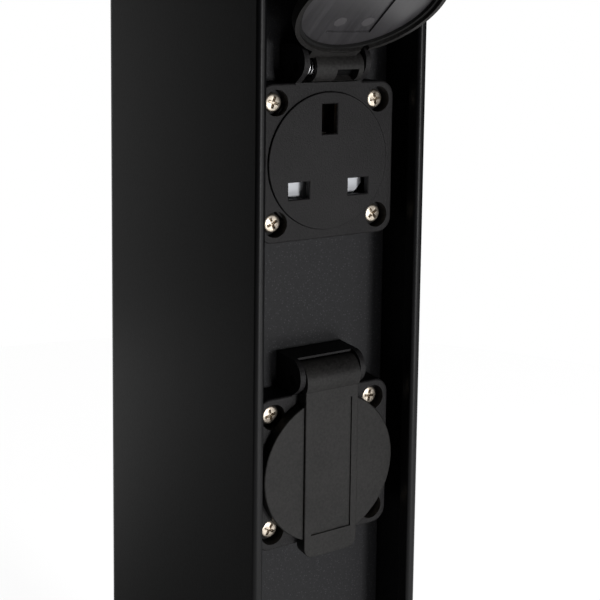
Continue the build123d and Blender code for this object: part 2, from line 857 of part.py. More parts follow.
def shutter_spring():
    """Small upright compression spring between the shutter and the body's wall."""
    low = -(body_radius - body_wall)
    high = -flat_pin_drop - flat_pin_height / 2 - shutter_cover
    length = high - low - 2 * shutter_wire_radius - 2 * shutter_spring_seat
    turn = 360 * shutter_coil_turns
    path = coil(0, turn, shutter_coil_radius, length, 2 * shutter_wire_radius, 2 * shutter_wire_radius)
    gap = least_turn_gap(length, turn, shutter_coil_radius, shutter_wire_radius)
    print("shutter spring least gap", round(gap, 3))
    upright = Rot(0, -90, 0) * tube(path, shutter_wire_radius)
    y = shutter_back() - shutter_thickness / 2
    return Pos(0, y, low + shutter_wire_radius + shutter_spring_seat) * upright


def terminal(centre):
    """Brass block with an upright wire bore and a screw hole from the rear."""
    x, z = centre
    start = terminal_start()
    half = terminal_side / 2
    brass = block(x - half, x + half, start, start + terminal_length, z - half, z + half)
    middle = start + terminal_length / 2
    brass -= along_z(disc(x, middle, terminal_bore_radius), z - half - overrun, z + half + overrun)
    hole = disc(x, z, terminal_screw_radius + thread_gap)
    brass -= along_y(hole, middle, start + terminal_length + overrun)
    return brass


def flat_contact(side):
    """Two leaves above and below the flat pin, a bridge and the terminal."""
    x, z = side * flat_pin_offset, -flat_pin_drop
    half = flat_plug_pin_width / 2
    gap = flat_plug_pin_thickness / 2
    brass = terminal((x, z))
    for way in (-1, 1):
        leaf = plate(x - half, x + half, z + way * gap, z + way * (gap + leaf_thickness))
        brass += along_y(leaf, leaf_start, terminal_start())
    reach = gap + leaf_thickness
    bridge = plate(x - half, x + half, z - reach, z + reach)
    brass += along_y(bridge, terminal_start() - leaf_thickness, terminal_start())
    return brass


def earth_contact():
    """Two upright leaves beside the earth pin, the left one reaching to the face."""
    half = earth_plug_pin_height / 2
    gap = earth_plug_pin_width / 2 + (earth_width / 2 - earth_plug_pin_width / 2) / 2
    brass = terminal((0, earth_rise))
    low, high = earth_rise - half, earth_rise + half
    left = plate(-gap - leaf_thickness, -gap, low, high)
    brass += along_y(left, earth_leaf_start, terminal_start())
    right = plate(gap, gap + leaf_thickness, low, high)
    brass += along_y(right, leaf_start, terminal_start())
    bridge = plate(-gap - leaf_thickness, gap + leaf_thickness, low, high)
    brass += along_y(bridge, terminal_start() - leaf_thickness, terminal_start())
    return brass


def terminal_screws():
    start = terminal_start() + terminal_length / 2 + wire_radius + wire_entry_gap
    screws = []
    for centre, size in aperture_centres():
        screws.append(along_y(disc(*centre, terminal_screw_radius), start, start + terminal_screw_length))
    return screws


def face_screws():
    screws = []
    for side in (-1, 1):
        x, z = side * face_screw_offset, face_screw_rise
        shank = along_y(disc(x, z, face_screw_radius), -face_rise + face_thickness, body_back)
        head = disc(x, z, face_screw_head_radius)
        screws.append(shank + along_y(head, body_back - face_screw_head_height, body_back))
    return screws


def wire(start, stops, bend):
    """A round wire through points, with arcs in its corners."""
    points = [Vector(*start)] + [Vector(*stop) for stop in stops]
    path = FilletPolyline(*points, radius=bend)
    return tube(path, wire_radius)


def pole_x(pole):
    return (pole - 1) * block_pole_pitch


def block_front():
    return bracket_y - block_depth


def wires(pole, centre):
    """Wires of one pole, one from each socket's terminal down into the block's clamp."""
    y = flange_face_y + terminal_start() + terminal_length / 2
    block_y = bracket_y - block_depth / 2
    bottom = block_centre_height + clamp_length / 2 - wire_insert
    apart = wire_radius + wire_entry_gap / 2
    runs = []
    for name, side in (("upper", -1), ("lower", 1)):
        height = socket_heights[name]
        end_x = pole_x(pole) + side * apart
        stops = [
            (centre[0], y, height - wire_drop),
            (end_x, block_y, height - 2 * wire_drop),
            (end_x, block_y, bottom),
        ]
        runs.append(wire((centre[0], y, height + centre[1]), stops, wire_bend_radius))
    return runs


def earth_link():
    """Short wire from the lug's barrel up into the earth clamp."""
    block_y = bracket_y - block_depth / 2
    barrel_top = stud_height + lug_tail
    start = barrel_top - lug_barrel_length / 2
    top = block_centre_height - clamp_length / 2 + wire_insert
    stops = [
        (0, lug_barrel_y(), barrel_top + link_lead),
        (0, block_y, block_centre_height - block_height / 2 - link_lead),
        (0, block_y, top),
    ]
    return wire((0, lug_barrel_y(), start), stops, link_bend_radius)


def bracket_screw_offsets():
    return [side * (bracket_width / 2 - bracket_foot / 3) for side in (-1, 1)]


def terminal_bracket():
    """Bent sheet: a foot on the base plate and an upright that carries the block."""
    foot_front = bracket_y - bracket_foot
    back = bracket_y + bracket_thickness
    low = base_thickness
    side = plate(foot_front, back, low, low + bracket_thickness)
    side += plate(bracket_y, back, low, low + bracket_height)
    bracket = along_x(side, -bracket_width / 2, bracket_width / 2)
    for x in bracket_screw_offsets():
        hole = disc(x, bracket_y - bracket_foot / 2, csk_shank_radius + head_gap)
        bracket -= along_z(hole, 0, low + bracket_thickness + overrun)
    stud = disc(0, stud_height, stud_radius + stud_gap)
    bracket -= along_y(stud, bracket_y - overrun, back + overrun)
    for x in (-block_pole_pitch / 2, block_pole_pitch / 2):
        fixing = disc(x, block_centre_height, block_fixing_radius + thread_gap)
        bracket -= along_y(fixing, bracket_y - overrun, back + overrun)
    return bracket


def pan_screw(length, radius):
    """Plain pan-head screw, head above z = 0."""
    head = along_z(Circle(2 * radius), 0, radius)
    return head + along_z(Circle(radius), -length, overrun / 2)


def bracket_screws():
    y = bracket_y - bracket_foot / 2
    length = bracket_thickness + base_thickness / 2
    top = base_thickness + bracket_thickness
    return [Pos(x, y, top) * pan_screw(length, csk_shank_radius) for x in bracket_screw_offsets()]


def terminal_block():
    """Moulded three-pole block with wire bores and screw bores."""
    width = 3 * block_pole_pitch
    low = block_centre_height - block_height / 2
    high = block_centre_height + block_height / 2
    body = block(-width / 2, width / 2, block_front(), bracket_y, low, high)
    middle = bracket_y - block_depth / 2
    for pole in range(3):
        x = pole_x(pole)
        side = 2 * (clamp_half_side + clamp_gap)
        body -= along_z(Pos(x, middle) * Rectangle(side, side), low - overrun, high + overrun)
        for way in (-1, 1):
            z = block_centre_height + way * clamp_length / 4
            bore = disc(x, z, block_screw_bore_radius)
            body -= along_y(bore, block_front() - overrun, middle)
    for x in (-block_pole_pitch / 2, block_pole_pitch / 2):
        hole = disc(x, block_centre_height, block_fixing_radius + head_gap)
        body -= along_y(hole, block_front() - overrun, bracket_y + overrun)
    return body


def block_clamps():
    """Brass sleeves in the block, each with a through bore for the wires."""
    middle = bracket_y - block_depth / 2
    low = block_centre_height - clamp_length / 2
    clamps = []
    for pole in range(3):
        x = pole_x(pole)
        side = 2 * clamp_half_side
        sleeve = along_z(Pos(x, middle) * Rectangle(side, side), low, low + clamp_length)
        sleeve -= along_z(disc(x, middle, clamp_half_side - clamp_wall), low - overrun,
                          low + clamp_length + overrun)
        for way in (-1, 1):
            z = block_centre_height + way * clamp_length / 4
            hole = disc(x, z, clamp_screw_radius + thread_gap)
            sleeve -= along_y(hole, middle - clamp_half_side - overrun, middle)
        clamps.append(sleeve)
    return clamps


def block_screws():
    middle = bracket_y - block_depth / 2
    tip = middle - wire_radius - wire_entry_gap
    screws = []
    for pole in range(3):
        for way in (-1, 1):
            z = block_centre_height + way * clamp_length / 4
            screw = disc(pole_x(pole), z, clamp_screw_radius)
            screws.append(along_y(screw, tip - clamp_screw_length, tip))
    return screws


def block_fixings():
    """Screws that hold the terminal block on the bracket."""
    length = block_depth + bracket_thickness
    screws = []
    for x in (-block_pole_pitch / 2, block_pole_pitch / 2):
        screw = pan_screw(length, block_fixing_radius)
        screws.append(facing_front(screw, x, block_front(), block_centre_height))
    return screws


def earth_stud():
    stud = disc(0, stud_height, stud_radius)
    body = along_y(stud, bracket_y + bracket_thickness - stud_length, bracket_y + bracket_thickness)
    head = disc(0, stud_height, 2 * stud_radius)
    back = bracket_y + bracket_thickness
    return body + along_y(head, back, back + bracket_thickness)


def earth_lug():
    """Ring lug on the stud with a crimped tail that points up to the wires."""
    ring = disc(0, stud_height, lug_radius)
    ring += plate(-lug_tail_half_width, lug_tail_half_width, stud_height, stud_height + lug_tail)
    ring -= disc(0, stud_height, stud_radius + stud_gap)
    lug = along_y(ring, bracket_y - lug_thickness, bracket_y)
    top = stud_height + lug_tail
    barrel = Pos(0, lug_barrel_y())
    lug += along_z(barrel * Circle(lug_barrel_radius), top - lug_barrel_length, top)
    bore = barrel * Circle(wire_radius + thread_gap)
    lug -= along_z(bore, top - lug_barrel_length - overrun, top + overrun)
    return lug


def lug_barrel_y():
    return bracket_y - lug_barrel_radius - stud_gap


def earth_nut():
    profile = Pos(0, stud_height) * hexagon(nut_across_flats)
    profile -= disc(0, stud_height, stud_radius + thread_gap)
    back = bracket_y - lug_thickness
    return along_y(profile, back - nut_height, back)


def gland_body():
    """Threaded shank in the base plate, hexagon and sleeve, bored for the cable."""
    top = base_thickness + gland_hex_height
    body = along_z(Circle(gland_thread_radius), 0, base_thickness)
    body += along_z(hexagon(gland_hex_across), base_thickness, top)
    body += along_z(Circle(gland_body_radius), top, top + gland_body_height)
    body -= along_z(Circle(gland_bore_radius), -overrun, top + gland_body_height + overrun)
    seat = top + gland_body_height - gland_seal_height + gland_gap
    body -= along_z(Circle(gland_seal_radius + gland_gap), seat, top + gland_body_height + overrun)
    return Pos(0, gland_y, 0) * body


def gland_seal():
    top = base_thickness + gland_hex_height + gland_body_height + gland_gap
    ring = Circle(gland_seal_radius) - Circle(gland_seal_bore_radius)
    return Pos(0, gland_y, 0) * along_z(ring, top - gland_seal_height, top)


def gland_nut():
    """Dome nut over the sleeve that squeezes the seal."""
    start = base_thickness + gland_hex_height + gland_gap
    top = start + gland_nut_height
    nut = along_z(hexagon(gland_nut_across), start, top - gland_nut_crown)
    crown = along_z(Circle(gland_nut_across / 2), top - gland_nut_crown - overrun, top)
    nut += chamfer(crown.faces().sort_by(Axis.Z)[-1].edges(), gland_nut_crown / 2)
    nut -= along_z(Circle(gland_body_radius + gland_gap), start - overrun, start + gland_body_height)
    nut -= along_z(Circle(gland_seal_radius - gland_gap), start, top - gland_nut_crown / 2)
    nut -= along_z(Circle(gland_bore_radius), start, top + overrun)
    return Pos(0, gland_y, 0) * nut


def place(piece, name):
    """Set a socket's piece at its place in the post."""
    return Pos(0, flange_face_y, socket_heights[name]) * piece


def socket_pieces(name):
    """Every piece of one socket, in the post."""
    angle = lid_angles[name]
    own = {
        "flange": flange(),
        "flange_gasket": flange_gasket(),
        "flange_screws": flange_screws(),
        "socket_face": socket_face(),
        "rear_body": rear_body(),
        "face_screws": face_screws(),
        "shutter": shutter(),
        "shutter_spring": shutter_spring(),
        "line_contact": flat_contact(1),
        "neutral_contact": flat_contact(-1),
        "earth_contact": earth_contact(),
        "terminal_screws": terminal_screws(),
        "lid": turned(lid(), angle),
        "lid_seal": turned(lid_seal(), angle),
        "lid_spring": lid_spring(angle),
        "hinge_pin": hinge_pin(),
    }
    placed = {}
    for part_name, piece in own.items():
        pieces = piece if isinstance(piece, list) else [piece]
        placed[name + "_" + part_name] = [place(each, name) for each in pieces]
    return placed


def post_pieces():
    """The post's own pieces."""
    own = {
        "post_shell": post_shell(),
        "socket_panel": socket_panel(),
        "panel_screws": panel_screws(),
        "top_cap": top_cap(),
        "cap_screws": cap_screws(),
        "base_plate": base_plate(),
        "base_gasket": base_gasket(),
        "base_screws": base_screws(),
        "gland_body": gland_body(),
        "gland_seal": gland_seal(),
        "gland_nut": gland_nut(),
        "terminal_bracket": terminal_bracket(),
        "bracket_screws": bracket_screws(),
        "terminal_block": terminal_block(),
        "block_clamps": block_clamps(),
        "block_screws": block_screws(),
        "block_fixings": block_fixings(),
        "earth_stud": earth_stud(),
        "earth_lug": earth_lug(),
        "earth_nut": earth_nut(),
        "neutral_wires": wires(0, (-flat_pin_offset, -flat_pin_drop)),
        "earth_wires": wires(1, (0, earth_rise)) + [earth_link()],
        "line_wires": wires(2, (flat_pin_offset, -flat_pin_drop)),
    }
    return {key: piece if isinstance(piece, list) else [piece] for key, piece in own.items()}


def main():
    os.makedirs("parts", exist_ok=True)
    nodes = post_pieces()
    for name in socket_heights:
        nodes.update(socket_pieces(name))
    for node, pieces in nodes.items():
        solids = [solid for piece in pieces for solid in piece.solids()]
        whole = solids[0] if len(solids) == 1 else Compound(children=solids)
        export_step(whole, os.path.join("parts", node + ".step"))
        print(node, len(solids), "solids")


main()
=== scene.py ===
import bpy
import bmesh
import math
from mathutils import Matrix, Vector


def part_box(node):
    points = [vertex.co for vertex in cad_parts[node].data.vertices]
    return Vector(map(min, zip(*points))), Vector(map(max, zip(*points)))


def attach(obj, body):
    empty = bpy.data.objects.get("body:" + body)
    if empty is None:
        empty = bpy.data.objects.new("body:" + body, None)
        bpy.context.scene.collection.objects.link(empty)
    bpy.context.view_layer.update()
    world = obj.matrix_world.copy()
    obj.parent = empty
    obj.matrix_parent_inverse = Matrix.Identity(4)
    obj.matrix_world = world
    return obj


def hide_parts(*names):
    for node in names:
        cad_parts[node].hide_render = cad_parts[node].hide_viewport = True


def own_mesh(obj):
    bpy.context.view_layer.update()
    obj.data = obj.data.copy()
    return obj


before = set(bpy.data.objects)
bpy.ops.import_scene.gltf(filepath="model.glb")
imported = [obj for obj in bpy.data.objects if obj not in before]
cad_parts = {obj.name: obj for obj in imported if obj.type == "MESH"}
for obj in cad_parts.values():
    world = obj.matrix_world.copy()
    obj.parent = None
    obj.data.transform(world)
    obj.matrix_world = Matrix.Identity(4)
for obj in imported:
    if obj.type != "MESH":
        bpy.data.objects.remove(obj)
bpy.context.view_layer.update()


# Studio
# The post is seen from its front left, from the height of the upper socket,
# over a pale floor and before a white sweep of paper.

def linear(colour):
    """An sRGB hex colour as linear red, green, blue and full alpha."""
    parts = [int(colour[i:i + 2], 16) / 255 for i in (0, 2, 4)]
    return [c / 12.92 if c <= 0.04045 else ((c + 0.055) / 1.055) ** 2.4 for c in parts] + [1.0]


def add(tree, kind, inputs=(), **settings):
    """Adds a node; inputs holds pairs of an input's name or number and a value or socket."""
    made = tree.nodes.new(kind)
    for key, value in settings.items():
        setattr(made, key, value)
    for key, value in inputs:
        if isinstance(value, bpy.types.NodeSocket):
            tree.links.new(value, made.inputs[key])
        else:
            made.inputs[key].default_value = value
    return made


def blank(name):
    """A material with an empty node tree."""
    made = bpy.data.materials.new(name)
    made.use_nodes = True
    made.node_tree.nodes.clear()
    return made, made.node_tree


def shown(mesh_edit, name, material):
    """Turns a finished bmesh into an object that sits at the origin."""
    mesh = bpy.data.meshes.new(name)
    mesh_edit.to_mesh(mesh)
    mesh_edit.free()
    mesh.materials.append(material)
    made = bpy.data.objects.new(name, mesh)
    bpy.context.scene.collection.objects.link(made)
    return made


camera_place = Vector((-0.17596, -0.32902, 0.34323))
yaw, pitch, roll = math.radians(28.64), math.radians(5.534), math.radians(0.468)
camera_data = bpy.data.cameras.new("camera")
camera_data.sensor_width = 36.0
camera_data.lens = 61.995
camera_data.shift_x = 0.0716
camera_data.shift_y = -0.3152
camera_data.clip_start = 0.01
camera = bpy.data.objects.new("camera", camera_data)
bpy.context.scene.collection.objects.link(camera)
ahead = Vector((math.sin(yaw) * math.cos(pitch), math.cos(yaw) * math.cos(pitch), -math.sin(pitch)))
aside = Vector((math.cos(yaw), -math.sin(yaw), 0))
above = aside.cross(ahead)
axes = Matrix((aside, above, -ahead)).transposed().to_4x4()
camera.matrix_world = Matrix.Translation(camera_place) @ axes @ Matrix.Rotation(roll, 4, "Z")
bpy.context.scene.camera = camera
bpy.context.scene.view_settings.view_transform = "Standard"

# The paper looks white to the camera. Glossy coats mirror it as bright only
# before the post and, past a slanting line, behind it on the right.
floor_radius = 0.7
floor_glow = 0.95
front_from, front_to, unlit_share = -0.25, 0.1, 0.05
line_lean, line_from, line_to = 0.42, 0.01, 0.08
floor_finish, tree = blank("white studio floor")
rays = add(tree, "ShaderNodeLightPath")
seen = add(tree, "ShaderNodeMath", operation="MAXIMUM",
           inputs=[(0, rays.outputs["Is Camera Ray"]), (1, rays.outputs["Is Transmission Ray"])])
where = add(tree, "ShaderNodeTexCoord").outputs["Object"]
place = add(tree, "ShaderNodeSeparateXYZ", [("Vector", where)])
lit_front = add(tree, "ShaderNodeMapRange", [("Value", place.outputs["Y"]), ("From Min", front_from),
                ("From Max", front_to), ("To Min", 1.0), ("To Max", unlit_share)])
across = add(tree, "ShaderNodeMath", [(0, place.outputs["Y"]), (1, line_lean), (2, place.outputs["X"])],
             operation="MULTIPLY_ADD")
lit_back = add(tree, "ShaderNodeMapRange", [("Value", across.outputs[0]), ("From Min", line_from),
               ("From Max", line_to)])
lit = add(tree, "ShaderNodeMath", [(0, lit_front.outputs[0]), (1, lit_back.outputs[0])],
          operation="MAXIMUM")
mirrored = add(tree, "ShaderNodeMath", [(0, rays.outputs["Is Glossy Ray"]), (1, lit.outputs[0])],
               operation="MULTIPLY")
seen = add(tree, "ShaderNodeMath", [(0, seen.outputs[0]), (1, mirrored.outputs[0])], operation="MAXIMUM")
lift = add(tree, "ShaderNodeMath", [(0, seen.outputs[0]), (1, floor_glow)], operation="MULTIPLY")
paper = add(tree, "ShaderNodeBsdfPrincipled", [("Base Color", linear("f2f2f2")), ("Roughness", 0.9),
            ("Specular IOR Level", 0.1), ("Emission Color", linear("ffffff")),
            ("Emission Strength", lift.outputs[0])])
add(tree, "ShaderNodeOutputMaterial", [("Surface", paper.outputs[0])])
ground = bmesh.new()
bmesh.ops.create_circle(ground, cap_ends=True, segments=96, radius=floor_radius)
floor = shown(ground, "floor", floor_finish)

sweep_from, sweep_to, dim_share = 0.69, 0.8, 0.02
world = bpy.data.worlds.new("studio")
bpy.context.scene.world = world
world.use_nodes = True
tree = world.node_tree
tree.nodes.clear()
rays = add(tree, "ShaderNodeLightPath")
seen = add(tree, "ShaderNodeMath", operation="MAXIMUM",
           inputs=[(0, rays.outputs["Is Camera Ray"]), (1, rays.outputs["Is Transmission Ray"])])
way = add(tree, "ShaderNodeTexCoord").outputs["Generated"]
toward = add(tree, "ShaderNodeVectorMath", [(0, way), (1, ahead)], operation="DOT_PRODUCT")
sweep = add(tree, "ShaderNodeMapRange", [("Value", toward.outputs["Value"]), ("From Min", sweep_from),
            ("From Max", sweep_to)])
mirrored = add(tree, "ShaderNodeMath", operation="MULTIPLY_ADD",
               inputs=[(0, rays.outputs["Is Glossy Ray"]), (1, sweep.outputs[0]), (2, dim_share)])
level = add(tree, "ShaderNodeMath", [(0, seen.outputs[0]), (1, mirrored.outputs[0])], operation="MAXIMUM")
sky = add(tree, "ShaderNodeBackground", [("Color", linear("ffffff")), ("Strength", level.outputs[0])])
add(tree, "ShaderNodeOutputWorld", [("Surface", sky.outputs[0])])

for name, place, aim, size, power in (
    ("softbox front", (0.25, -1.28, 0.22), (0, 0, 0.24), (0.2, 0.2), 7.0),
    ("softbox low", (0.10, -0.55, 0.02), (0, -0.05, 0.36), (0.4, 0.25), 1.3),
):
    lamp_data = bpy.data.lights.new(name, "AREA")
    lamp_data.shape = "RECTANGLE"
    lamp_data.size, lamp_data.size_y = size
    lamp_data.energy = power
    lamp = bpy.data.objects.new(name, lamp_data)
    bpy.context.scene.collection.objects.link(lamp)
    way = Vector(aim) - Vector(place)
    lamp.matrix_world = Matrix.Translation(place) @ way.to_track_quat("-Z", "Y").to_matrix().to_4x4()


# Post
# An aluminium extrusion with an open channel in its front, powder coated
# black. The satin coat shows a fine orange peel and soft light on its edges.

def dress(material, *names):
    """Gives CAD nodes their finish."""
    for name in names:
        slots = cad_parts[name].data.materials
        slots.clear()
        slots.append(material)


orange_peel_spacing = 0.0011
coat_cloud_width = 1 / 30
powder_coat, tree = blank("satin black polyester powder coat")
where = add(tree, "ShaderNodeTexCoord").outputs["Object"]
peel = add(tree, "ShaderNodeTexNoise", [("Vector", where), ("Scale", 1 / orange_peel_spacing),
           ("Detail", 3.0), ("Roughness", 0.6)])
cloud = add(tree, "ShaderNodeTexNoise", [("Vector", where), ("Scale", 1 / coat_cloud_width),
            ("Detail", 3.0)])
tone = add(tree, "ShaderNodeMix", data_type="RGBA",
           inputs=[(0, cloud.outputs["Fac"]), (6, linear("09090a")), (7, linear("0d0d0f"))])
gloss = add(tree, "ShaderNodeMapRange", [("Value", peel.outputs["Fac"]), ("To Min", 0.34),
            ("To Max", 0.46)])
bump = add(tree, "ShaderNodeBump", [("Strength", 0.35), ("Distance", 0.00008),
           ("Height", peel.outputs["Fac"])])
coat = add(tree, "ShaderNodeBsdfPrincipled", [("Base Color", tone.outputs[2]),
           ("Roughness", gloss.outputs[0]), ("Specular IOR Level", 0.2), ("Normal", bump.outputs[0])])
add(tree, "ShaderNodeOutputMaterial", [("Surface", coat.outputs[0])])
dress(powder_coat, "post_shell", "base_plate")


# Socket panel
# A strip of sheet slid behind the channel, coated in a coarser sand texture.
# Its grains carry painted glints, flecks painted lighter and made glossier, so
# it looks greyer than the post.

sand_spacing = 0.00065
flecks_per_grain = 0.7
sand_coat, tree = blank("sand texture powder coat")
where = add(tree, "ShaderNodeTexCoord").outputs["Object"]
grain = add(tree, "ShaderNodeTexNoise", [("Vector", where), ("Scale", 1 / sand_spacing),
            ("Detail", 2.0), ("Roughness", 0.7)])
flecks = add(tree, "ShaderNodeTexVoronoi", [("Vector", where),
             ("Scale", flecks_per_grain / sand_spacing)])
spark = add(tree, "ShaderNodeMapRange", [("Value", flecks.outputs["Distance"]), ("From Min", 0.0),
            ("From Max", 0.28), ("To Min", 1.0), ("To Max", 0.0)])
tone = add(tree, "ShaderNodeMix", data_type="RGBA",
           inputs=[(0, grain.outputs["Fac"]), (6, linear("1c1c1e")), (7, linear("2b2b2d"))])
# Painted glints: the flecks' lighter grey stands in for light that the grains catch.
tint = add(tree, "ShaderNodeMix", data_type="RGBA",
           inputs=[(0, spark.outputs[0]), (6, tone.outputs[2]), (7, linear("444448"))])
gloss = add(tree, "ShaderNodeMapRange", [("Value", spark.outputs[0]), ("To Min", 0.62), ("To Max", 0.36)])
bump = add(tree, "ShaderNodeBump", [("Strength", 0.7), ("Distance", 0.00015),
           ("Height", grain.outputs["Fac"])])
coat = add(tree, "ShaderNodeBsdfPrincipled", [("Base Color", tint.outputs[2]),
           ("Roughness", gloss.outputs[0]), ("Specular IOR Level", 0.22), ("Normal", bump.outputs[0])])
add(tree, "ShaderNodeOutputMaterial", [("Surface", coat.outputs[0])])
dress(sand_coat, "socket_panel")


# Cap
# A black moulded polyamide cover screwed into the post's ports. A moulding
# has a fine even grain and a slightly duller skin than the powder coat.

mould_grain = 0.0008
cap_flow_width = 1 / 45
cap_plastic, tree = blank("black moulded polyamide")
where = add(tree, "ShaderNodeTexCoord").outputs["Object"]
grain = add(tree, "ShaderNodeTexNoise", [("Vector", where), ("Scale", 1 / mould_grain),
            ("Detail", 2.0)])
flow = add(tree, "ShaderNodeTexNoise", [("Vector", where), ("Scale", 1 / cap_flow_width),
           ("Detail", 2.0)])
tone = add(tree, "ShaderNodeMix", data_type="RGBA",
           inputs=[(0, flow.outputs["Fac"]), (6, linear("151515")), (7, linear("1d1d1e"))])
gloss = add(tree, "ShaderNodeMapRange", [("Value", grain.outputs["Fac"]), ("To Min", 0.48),
            ("To Max", 0.62)])
bump = add(tree, "ShaderNodeBump", [("Strength", 0.4), ("Distance", 0.00008),
           ("Height", grain.outputs["Fac"])])
skin = add(tree, "ShaderNodeBsdfPrincipled", [("Base Color", tone.outputs[2]),
           ("Roughness", gloss.outputs[0]), ("Specular IOR Level", 0.35), ("Normal", bump.outputs[0])])
add(tree, "ShaderNodeOutputMaterial", [("Surface", skin.outputs[0])])
dress(cap_plastic, "top_cap")


# Screws
# Steel screws with a warm nickel plate, tumbled bright. They show fine
# turning marks and small differences in gloss.

plate_wear_width = 1 / 900
nickel, tree = blank("bright nickel plate")
where = add(tree, "ShaderNodeTexCoord").outputs["Object"]
wear = add(tree, "ShaderNodeTexNoise", [("Vector", where), ("Scale", 1 / plate_wear_width),
           ("Detail", 3.0)])
tone = add(tree, "ShaderNodeMix", data_type="RGBA",
           inputs=[(0, wear.outputs["Fac"]), (6, linear("a89c8c")), (7, linear("d8cfc2"))])
gloss = add(tree, "ShaderNodeMapRange", [("Value", wear.outputs["Fac"]), ("To Min", 0.34),
            ("To Max", 0.52)])
bump = add(tree, "ShaderNodeBump", [("Strength", 0.3), ("Distance", 0.00006),
           ("Height", wear.outputs["Fac"])])
plate = add(tree, "ShaderNodeBsdfPrincipled", [("Base Color", tone.outputs[2]), ("Metallic", 1.0),
            ("Roughness", gloss.outputs[0]), ("Normal", bump.outputs[0])])
add(tree, "ShaderNodeOutputMaterial", [("Surface", plate.outputs[0])])
dress(nickel, "panel_screws", "cap_screws", "base_screws", "bracket_screws", "block_screws", "block_fixings",
      "upper_face_screws", "lower_face_screws", "upper_terminal_screws", "lower_terminal_screws")


# Flange screws
# Nickel plated pan-head screws with a tapered cross recess, cold headed and
# thread rolled. Four hold each flange, each stopped at its own turn.

recess_arm, recess_half_width = 0.0019, 0.00048
recess_mouth_height, recess_depth, recess_floor_share = 0.00214, 0.0012, 0.55
crown_radius, crown_height, crown_turn = 0.0022, 0.00205, math.radians(-12.8)
head_profile = [(0.00245, 0.00198), (0.0027, 0.00186), (0.0029, 0.00166), (0.00302, 0.00136),
                (0.00305, 0.001), (0.00305, 0)]
shank_radius, thread_radius = 0.00145, 0.0017
thread_start, thread_pitch, thread_flank, thread_turns = -0.001, 0.00125, 0.00035, 8
neck_profile = [(0.00175, 0), (shank_radius, -0.0004)]
point_profile = [(0.0013, -0.0109), (0.0003, -0.013)]
screw_spread, screw_seat, flange_half = 0.019, 0.0022, 0.025
sharp_edge = 0.6
screw_turns = {"upper": (24, -17, 38, 9), "lower": (-32, 13, 41, -8)}


def flange_screw(turn, place):
    """A bmesh of one screw: recess, domed head, rolled thread and point, facing the front."""
    edit = bmesh.new()
    arm, half = recess_arm, recess_half_width
    corners = [(arm, -half), (arm, half), (half, half), (half, arm), (-half, arm), (-half, half),
               (-arm, half), (-arm, -half), (-half, -half), (-half, -arm), (half, -arm), (half, -half)]
    points = [edit.verts.new((x, y, recess_mouth_height)) for x, y in corners]
    edges = [edit.edges.new((points[i - 1], points[i])) for i in range(len(points))]
    bmesh.ops.subdivide_edges(edit, edges=edges, cuts=3)
    mouth = list(edit.edges)
    crown = bmesh.ops.create_circle(edit, segments=48, radius=crown_radius)
    bmesh.ops.rotate(edit, verts=crown["verts"], matrix=Matrix.Rotation(crown_turn, 3, "Z"))
    bmesh.ops.translate(edit, verts=crown["verts"], vec=(0, 0, crown_height))
    outer = list(dict.fromkeys(edge for vert in crown["verts"] for edge in vert.link_edges))
    bmesh.ops.bridge_loops(edit, edges=mouth + outer)
    profile = head_profile + neck_profile
    for thread_step in range(thread_turns):
        low = thread_start - thread_pitch * thread_step
        profile += [(shank_radius, low), (thread_radius, low - thread_flank),
                    (shank_radius, low - 2 * thread_flank)]
    profile += point_profile
    ring, radius, height = outer, crown_radius, crown_height
    for next_radius, next_height in profile:
        drawn_out = bmesh.ops.extrude_edge_only(edit, edges=ring)["geom"]
        verts = [item for item in drawn_out if isinstance(item, bmesh.types.BMVert)]
        ring = [item for item in drawn_out if isinstance(item, bmesh.types.BMEdge)]
        share = next_radius / radius
        bmesh.ops.scale(edit, verts=verts, vec=(share, share, 1))
        bmesh.ops.translate(edit, verts=verts, vec=(0, 0, next_height - height))
        radius, height = next_radius, next_height
    bmesh.ops.edgeloop_fill(edit, edges=ring)
    walls = bmesh.ops.extrude_edge_only(edit, edges=mouth)["geom"]
    verts = [item for item in walls if isinstance(item, bmesh.types.BMVert)]
    floor_edges = [item for item in walls if isinstance(item, bmesh.types.BMEdge)]
    bmesh.ops.scale(edit, verts=verts, vec=(recess_floor_share, recess_floor_share, 1))
    bmesh.ops.translate(edit, verts=verts, vec=(0, 0, -recess_depth))
    bmesh.ops.edgeloop_fill(edit, edges=floor_edges)
    bmesh.ops.recalc_face_normals(edit, faces=edit.faces)
    bmesh.ops.rotate(edit, verts=edit.verts, matrix=Matrix.Rotation(math.radians(turn), 3, "Z"))
    bmesh.ops.rotate(edit, verts=edit.verts, matrix=Matrix.Rotation(math.radians(90), 3, "X"))
    bmesh.ops.translate(edit, verts=edit.verts, vec=place)
    return edit


def settle(items):
    """Lists edges or faces by their corners' numbers, as Blender extrudes in no fixed order."""
    ordered = sorted(items, key=lambda item: sorted(vert.index for vert in item.verts))
    for rank, item in enumerate(ordered):
        item.index = rank
    items.sort()


for socket, turns in screw_turns.items():
    low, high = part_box(socket + "_flange_screws")
    seat_y = low.y + screw_seat
    middle_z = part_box(socket + "_flange")[0].z + flange_half
    screws_edit = bmesh.new()
    for turn, (side, rise) in zip(turns, ((-1, -1), (-1, 1), (1, -1), (1, 1))):
        one = flange_screw(turn, (side * screw_spread, seat_y, middle_z + rise * screw_spread))
        mesh = bpy.data.meshes.new("one screw")
        one.to_mesh(mesh)
        one.free()
        screws_edit.from_mesh(mesh)
        bpy.data.meshes.remove(mesh)
    screws_edit.verts.index_update()
    settle(screws_edit.edges)
    settle(screws_edit.faces)
    for face in screws_edit.faces:
        face.smooth = True
    for edge in screws_edit.edges:
        if len(edge.link_faces) == 2 and edge.calc_face_angle() > sharp_edge:
            edge.smooth = False
    screws = shown(screws_edit, socket + "_cross_recess_screws", nickel)
    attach(screws, "post")
    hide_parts(socket + "_flange_screws")


# Gaskets and seals
# Black rubber rings: under the post, behind the flanges, in the lids and in
# the gland. Rubber is dull, with a fine talc bloom in its skin.

